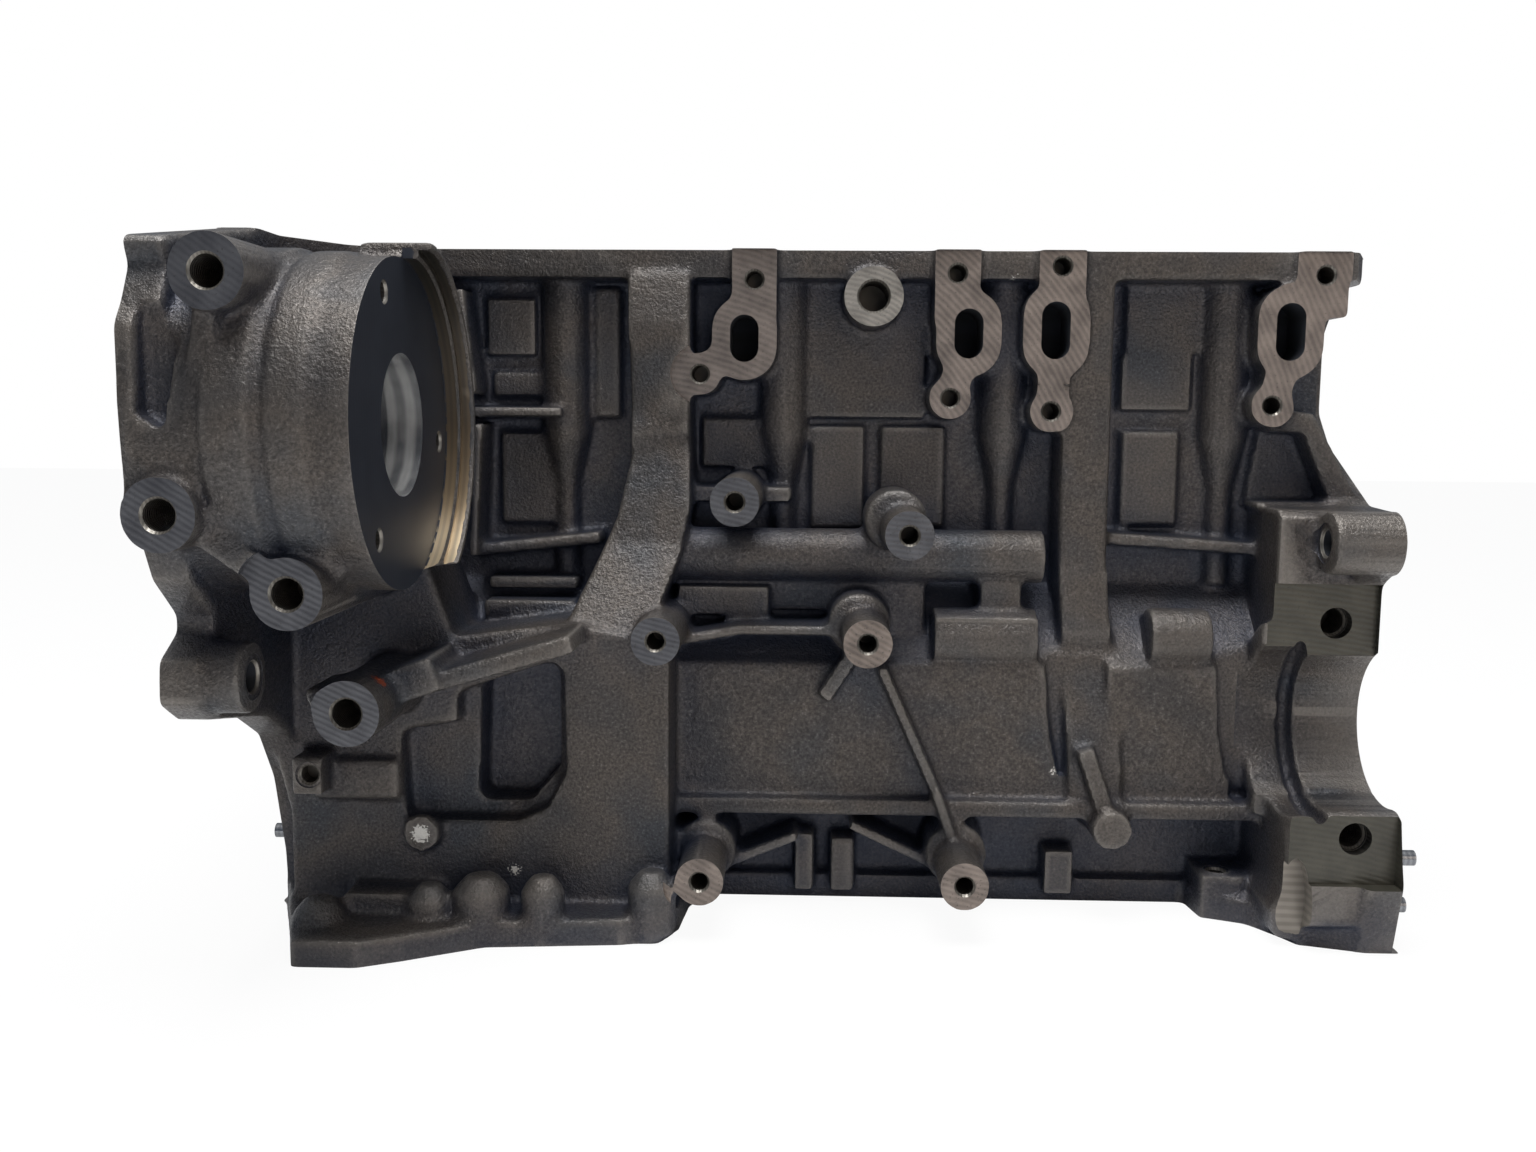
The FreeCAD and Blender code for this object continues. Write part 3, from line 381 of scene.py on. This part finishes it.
# the wall behind the pump seat is deep enough for a turned bore
stock.append(drum("X", PUMP, PUMP_FACE - PUMP_WALL, PUMP_FACE, SEAT_RADIUS - 8))
# the crankcase wall sweeps down into the ledge
stock.append(block((-52, 186), (-92.5, -80), (-12, 0)))
skin = join([skin] + stock)
apply_modifier(skin, "REMESH", mode="VOXEL", voxel_size=VOXEL / 1000)
apply_modifier(skin, "SMOOTH", factor=0.5, iterations=RELAX_STEPS)
apply_modifier(skin, "DECIMATE", ratio=SKIN_TRIANGLES / (2 * len(skin.data.polygons)))


# ------------------------------------------------------------------ casting: milled faces
# The deck, rails, ends, pads and bosses are milled flat. The cutter leaves arcs on them, and
# open pores of the iron show as dark specks. Small holes in cast walls are spot faced.
def milled(name, light, dark, pitch, centre, axis="Y"):
    """Iron faced by a cutter: arcs about a centre, spaced by its feed, with open pores."""
    material, tree, shader, place = new_material(name)
    moved = add(tree, "ShaderNodeMapping", {"Vector": place,
                                            "Location": tuple(-part / 1000 for part in centre)})
    arcs = tool_lines(tree, moved.outputs["Vector"], pitch,
                      {"Distortion": 1.5, "Detail": 2.0, "Detail Scale": 1.5},
                      wave_type="RINGS", rings_direction=axis, wave_profile="SIN")
    streaks = noise(tree, place, 9, 3)
    shade = mix(tree, 0.7, ramp(tree, arcs, (0.1, dark), (0.9, light)),
                ramp(tree, streaks, (0.3, dark), (0.7, light)))
    pores = level(tree, noise(tree, place, 0.8), 0.62, 0.70, 0.0, 0.6)
    finish(tree, shader, Base_Color=mix(tree, pores, shade, "#2b2826"), Metallic=0.4, Roughness=0.36,
           Normal=bump(tree, arcs, 0.06))
    return material


def carve(piece, cutters):
    """Takes the cutters away from a piece; a cut face keeps its cutter's finish."""
    tool = join(cutters)
    apply_modifier(piece, "BOOLEAN", operation="DIFFERENCE", object=tool, solver="MANIFOLD",
                   material_mode="TRANSFER")
    bpy.data.objects.remove(tool)


# wide faces, cut with a large head: pale grey with long arcs
DECK_FACE = milled("milled_deck", "#8f8a83", "#6a655f", 3.2, (-420, 40, 0), "Z")
END_FACE = milled("milled_end_faces", "#8a857f", "#68635e", 3.2, (0, 60, 420), "X")
# small faces: brown-grey pads and feet, blue-grey bosses, olive starter pads, a pale sensor seat
PAD_MILLED = milled("milled_pads", "#7d746e", "#514b48", 2.4, (-60, 0, 60))
BOSS_MILLED = milled("milled_bosses", "#55565a", "#3b3c41", 2.0, (100, 0, 600))
FOOT_MILLED = milled("milled_foot_bosses", "#82776f", "#524a45", 2.2, (160, 0, 300))
STARTER_MILLED = milled("milled_starter_pads", "#47453d", "#35342e", 2.2, (180, 0, -200))
PALE_MILLED = milled("milled_sensor_face", "#8f8c86", "#64625e", 2.0, (20, 0, 150))
# the ground lip is duller, with short upright strokes of the wheel
GROUND = turned("ground_lip", "#88827a", "#67625b", 0.3, 0.5, 3.2, "Z", 0.05)

# the cutters stand this far over a face; the wide ones reach past the casting
OVER = 8
LONG = (FRONT - 20, REAR + 20)
WIDE = (-240, 130)
INNER_LEVELS = (RAIL + 0.01, DECK - 0.01)
faces = [block(LONG, WIDE, (DECK, DECK + OVER), DECK_FACE),
         block(LONG, WIDE, (RAIL - OVER, RAIL), DECK_FACE),
         block((FRONT - OVER, FRONT), WIDE, INNER_LEVELS, END_FACE),
         block((REAR, REAR + OVER), WIDE, INNER_LEVELS, END_FACE)]
faces += [drum("Y", centre, BRACKET_FACE - OVER, BRACKET_FACE, 14, BOSS_MILLED) for centre in BRACKETS[:3]]
faces += [drum("Y", centre, BRACKET_FACE - OVER, BRACKET_FACE, 14, FOOT_MILLED) for centre in BRACKETS[3:]]
faces += [drum("Y", centre, face - OVER, face, 16, BOSS_MILLED) for centre, face in MOUNTS]
faces += [drum("Y", SENSOR, SENSOR_FACE - OVER, SENSOR_FACE, 16, PALE_MILLED)]
faces += [block(reach, (PAD_FACE - OVER, PAD_FACE), (foot - 10, DECK - 0.02), PAD_MILLED)
          for _, foot, _, _, _, reach in PADS]
faces += [block((194, REAR - 0.01), (face - OVER, face), levels, STARTER_MILLED) for _, face, levels in STARTER]
faces += [drum("Y", centre, FAR_FACE, FAR_FACE + OVER, 16, BOSS_MILLED) for centre in FAR_BOSSES]
carve(skin, faces)
carve(skin, [drum("Y", lobe, PAD_FACE - OVER, PAD_FACE, 12, PAD_MILLED, sides=64)
             for _, _, _, _, lobe, _ in PADS])
# spot faces: axis, centre, ends, radius
SPOTS = [("Y", SIDE_LUG, -142, -136, 5.2), ("Z", REAR_FOOT, -39, -33, 5.2), ("X", FRONT_LUG, -179, -172, 8),
         ("X", REAR_BOSS, 205, 212, 8)]
carve(skin, [drum(*spot, CAST) for spot in SPOTS])
# the lip left of the lower starter pad is ground to a lens
bpy.ops.mesh.primitive_cylinder_add(vertices=48, radius=0.019, depth=0.008, location=mm(200, -131, -39),
                                    rotation=(math.pi / 2, 0, 0), scale=(0.31, 1, 1))
carve(skin, [settle(GROUND)])

# ------------------------------------------------------------------ casting: starter trough
# The half-round trough clears the starter motor. It and the wider mouth beside it are cast,
# so they keep the skin of the sand, swept smooth.
TROUGH = (-118, 28)
TROUGH_RADIUS, MOUTH_RADIUS = 31, 34
carve(skin, [drum("X", TROUGH, 209, REAR + 2, TROUGH_RADIUS, CAST, sides=96)])
carve(skin, [drum("X", TROUGH, 188, 207, MOUTH_RADIUS, CAST, sides=96)])

# ------------------------------------------------------------------ casting: pump seat
# The high-pressure pump sits on a turned seat in the front housing. The seat is dark and
# fine. A cutter first clears the end of the housing, then turns the seat half a mm in.
SEAT = turned("turned_pump_seat", "#2d3139", "#22262e", 0.3, 0.42, 2.5, "Y", 0.0)
carve(skin, [block((PUMP_FACE, PUMP_FACE + 12), (-236, -164), (80, 206), SEAT)])
carve(skin, [drum("X", PUMP, PUMP_FACE - 0.02, PUMP_FACE + 0.5, SEAT_RADIUS, SEAT, sides=128)])

# ------------------------------------------------------------------ casting: slots of the pads
# Each pad has an upright slot with round ends. It is cored in the mould and left rough.
SLOT = 5.8
SLOT_DEPTH = 22
slots = []
# the slot walls are painted near black: painted shade
for across, foot, head, _, _, _ in PADS:
    slots.append(block((across - SLOT, across + SLOT), (PAD_FACE - 1, PAD_FACE + SLOT_DEPTH),
                       (foot + SLOT, head - SLOT), PAINTED_SHADE_HOLLOW))
    for end in (foot + SLOT, head - SLOT):
        carve(skin, [drum("Y", (across, end), PAD_FACE - 1.01, PAD_FACE + SLOT_DEPTH + 0.01, SLOT + 0.01,
                          PAINTED_SHADE_HOLLOW, sides=32)])
carve(skin, slots)


# ------------------------------------------------------------------ casting: bores
# The cylinders are bored and honed, the crank bore is line bored through all five bulkheads,
# and the pump seat has a turned rim with one step and a bore through the wall behind it.
def rim_finish():
    """The turned wall round the pump seat: fine hoops, and a painted reflection, dark above and bright at its
    foot.
    """
    material, tree, shader, place = new_material("turned_pump_rim")
    height = add(tree, "ShaderNodeSeparateXYZ", {"Vector": place}).outputs
    hoops = tool_lines(tree, place, 2.4, {"Distortion": 0.4}, wave_type="BANDS", bands_direction="X")
    rise = level(tree, height["Z"], 0.085, 0.205)
    # painted reflection: bright at the foot, darker towards the top
    painted_reflection = ramp(tree, rise, (0.0, "#c9bba2"), (0.22, "#8f7f68"), (0.5, "#5c5348"), (1.0, "#3a3936"))
    lines = ramp(tree, hoops, (0.2, "#4a4239"), (0.8, "#a3967f"))
    finish(tree, shader, Base_Color=mix(tree, 0.35, painted_reflection, lines, "OVERLAY"), Metallic=0.6, Roughness=0.36)
    return material


RIM = rim_finish()
# the crank bore is bright; the pump bore has light and dark bands drawn 7 mm apart, a painted reflection
BORED = turned("bored_iron", "#dcdcda", "#bcbcba", 0.85, 0.24, 0.8, "X", 0.005)
PUMP_BORE_PAINTED_REFLECTION = turned("turned_pump_bore", "#f0f0ee", "#6c6f76", 0.8, 0.22, 7.0, "X", 0.05)
# honing leaves a soft, even shine
HONED = turned("honed_bore", "#b4b2ae", "#8a8884", 1.0, 0.25, 0.9, "Z")
CYLINDER_RADIUS, CRANK_RADIUS, PUMP_BORE_RADIUS = 41.5, 32, 25
PUMP_END = PUMP_FACE + 20
bores = [drum("X", PUMP, PUMP_FACE, PUMP_END, SEAT_RADIUS, RIM, sides=128)]
bores += [drum("Z", (across, 0), 28, DECK + 1, CYLINDER_RADIUS, HONED, sides=96) for across in CYLINDERS]
bores += [drum("Y", centre, face - 1, face + SINK_DEPTH, SINK_RADIUS, DRILLED) for centre, face, _ in STARTER]
carve(skin, bores)
carve(skin, [drum("X", PUMP, PUMP_FACE + 5.5, PUMP_END, SEAT_RADIUS + 3, RIM, sides=128),
             drum("X", (0, 0), -245, 245, CRANK_RADIUS, BORED, sides=96)])
carve(skin, [drum("X", PUMP, FRONT - 1, PUMP_FACE + 1, PUMP_BORE_RADIUS, PUMP_BORE_PAINTED_REFLECTION, sides=96)])
# a shallow ring in the pump bore, and the cast room of the drive behind it
carve(skin, [drum("X", PUMP, PUMP_FACE - 24, PUMP_FACE - 13, PUMP_BORE_RADIUS + 1.5, PUMP_BORE_PAINTED_REFLECTION, sides=96)])
carve(skin, [drum("X", PUMP, FRONT - 1.5, PUMP_FACE - PUMP_WALL, SEAT_RADIUS - 12, CAST, sides=96)])

# ------------------------------------------------------------------ casting: drilled and tapped holes
# The blind holes are drilled, most are tapped, and each mouth gets a bright chamfer of 1 mm.
# The finished casting then takes the place of the plain solid.
CHAMFER = turned("chamfered_edge", "#8a867f", "#5f5b55", 0.7, 0.35)
CHAMFER_DEPTH, CHAMFER_WIDTH = 1.0, 1.6
drills = []
chamfers = []
for axis, centre, mouth, depth, radius, material in holes:
    sign = 1 if depth > 0 else -1
    low, high = sorted((mouth - sign, mouth + depth))
    drills.append(drum(axis, centre, low, high, radius, material, sides=32))
    ends = (mouth - sign * CHAMFER_DEPTH, mouth + sign * CHAMFER_DEPTH)
    radii = (radius + CHAMFER_WIDTH, radius)
    if sign < 0:
        ends, radii = ends[::-1], radii[::-1]
    chamfers.append(drum(axis, centre, *ends, radii[0], CHAMFER, radii[1], sides=32))
carve(skin, drills)
carve(skin, chamfers)
choose(skin)
bpy.ops.object.shade_smooth_by_angle(angle=math.radians(32))
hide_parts("cylinder_block")
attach(skin, "root")


# ------------------------------------------------------------------ bearing caps and their bolts
# The caps are iron blocks, machined all over and bored with the block. Two bolts of dark,
# oiled steel hold each to its bulkhead. All keep the frame's shapes.
def dress(start, material):
    """Gives a finish to each of the frame's pieces whose name starts so."""
    for name, piece in nodes.items():
        if name.startswith(start):
            piece.data.materials.clear()
            piece.data.materials.append(material)


# lighter than the casting, with the same fine grain
CAP_IRON = cast_skin("machined_cap_iron", ("#6a6661", "#77726c", "#5f5c59"))
# black oxide: dark, with a low shine
BOLT_STEEL = turned("black_oxide_bolt", "#37383b", "#242528", 0.8, 0.38, 3.0, "Z")
dress("main_bearing_cap", CAP_IRON)
dress("main_cap_bolts", BOLT_STEEL)

# ------------------------------------------------------------------ core plugs and gallery plugs
# Steel cups close the core holes of the far side, and two plugs close the oil gallery. All
# are pressed in, with a yellow plating.
PLUG_STEEL = turned("pressed_steel_plug", "#b09a5e", "#8b7a4c", 0.9, 0.34, 2.0, "Y")
dress("core_plug", PLUG_STEEL)
dress("gallery_plug", PLUG_STEEL)

# ------------------------------------------------------------------ dowels and pins
# Hollow dowels place the head on the deck, and solid pins place the covers on the ends. They
# are ground steel, pressed into the casting, and bright.
DOWEL_STEEL = turned("ground_dowel_steel", "#8d8f92", "#6a6c70", 1.0, 0.25, 2.0, "X")
dress("deck_dowel", DOWEL_STEEL)
dress("dowel_pin", DOWEL_STEEL)

# ------------------------------------------------------------------ stand
# A pale matt table top under the block. Seen directly it is nearly pure white, and it still
# takes the block's shadow.
FLOOR_SIZE, FLOOR_GAP = 8, 0.0002
WHITE = (1, 1, 1, 1)
bpy.ops.mesh.primitive_plane_add(size=FLOOR_SIZE, location=(0, 0, cad_low[2] - FLOOR_GAP))
floor = settle()
floor.name = "floor"
stand, tree, shader, place = new_material("pale_stand")
shader.inputs["Base Color"].default_value = colour("#f4f4f4")
shader.inputs["Roughness"].default_value = 1.0
glow = add(tree, "ShaderNodeEmission", {"Color": WHITE, "Strength": 1.0})
seen = add(tree, "ShaderNodeLightPath").outputs["Is Camera Ray"]
share = add(tree, "ShaderNodeMath", {0: seen, 1: 0.94}, operation="MULTIPLY").outputs["Value"]
both = add(tree, "ShaderNodeMixShader", {0: share, 1: shader.outputs["BSDF"], 2: glow.outputs["Emission"]})
tree.links.new(both.outputs["Shader"], tree.nodes["Material Output"].inputs["Surface"])
floor.data.materials.append(stand)
floor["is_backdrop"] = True

# ------------------------------------------------------------------ surround and lamps
# A soft surround, dark below and white above, is seen as plain white. A broad lamp hangs over
# the block, and a faint warm one stands before it.
world = bpy.data.worlds.new("surround")
bpy.context.scene.world = world
world.use_nodes = True
sky = world.node_tree
sky.nodes.clear()
direction = add(sky, "ShaderNodeTexCoord").outputs["Generated"]
height = add(sky, "ShaderNodeSeparateXYZ", {"Vector": direction}).outputs["Z"]
rise = level(sky, height, -1.0, 1.0)
light = ramp(sky, rise, (0.30, "#30343c"), (0.50, "#565b66"), (0.72, "#9aa2ae"), (1.0, "#ffffff"))
lit = add(sky, "ShaderNodeBackground", {"Color": light, "Strength": 0.72})
plain = add(sky, "ShaderNodeBackground", {"Color": WHITE, "Strength": 1.0})
camera_ray = add(sky, "ShaderNodeLightPath").outputs["Is Camera Ray"]
mixed = add(sky, "ShaderNodeMixShader", {0: camera_ray, 1: lit.outputs["Background"],
                                         2: plain.outputs["Background"]})
add(sky, "ShaderNodeOutputWorld", {"Surface": mixed.outputs["Shader"]})


def lamp(name, place, aim, size, energy, tint):
    """A square lamp that faces a point, in metres and watts."""
    data = bpy.data.lights.new(name, "AREA")
    data.energy = energy
    data.size = size
    data.color = colour(tint)[:3]
    item = bpy.data.objects.new(name, data)
    item.location = place
    item.rotation_euler = (Vector(place) - Vector(aim)).to_track_quat("Z", "Y").to_euler()
    bpy.context.scene.collection.objects.link(item)


lamp("ceiling", (0.0, -0.30, 1.4), (0, -0.05, 0.1), 0.8, 25, "#ffffff")
lamp("window", (0.6, -1.5, 0.5), (0, -0.05, 0.0), 0.9, 4, "#ffeedd")

# ------------------------------------------------------------------ camera
# It stands before the accessory side, a little above the middle of the block: place in mm,
# turn and tilt in degrees, roll in radians, and the lens in mm.
EYE = (9.6, -650, 148)
TURN, TILT, ROLL = 1.53, 6.72, 0.0085
SENSOR_WIDTH, FOCAL_LENGTH = 36, 32.23
bpy.context.scene.view_settings.view_transform = "Standard"
lens = bpy.data.cameras.new("camera")
lens.sensor_width = SENSOR_WIDTH
lens.lens = FOCAL_LENGTH
camera = bpy.data.objects.new("camera", lens)
bpy.context.scene.collection.objects.link(camera)
camera.matrix_world = (Matrix.Translation(mm(*EYE)) @ Matrix.Rotation(math.radians(TURN), 4, "Z")
                       @ Matrix.Rotation(math.radians(90 - TILT), 4, "X") @ Matrix.Rotation(ROLL, 4, "Z"))
bpy.context.scene.camera = camera

low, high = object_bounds()
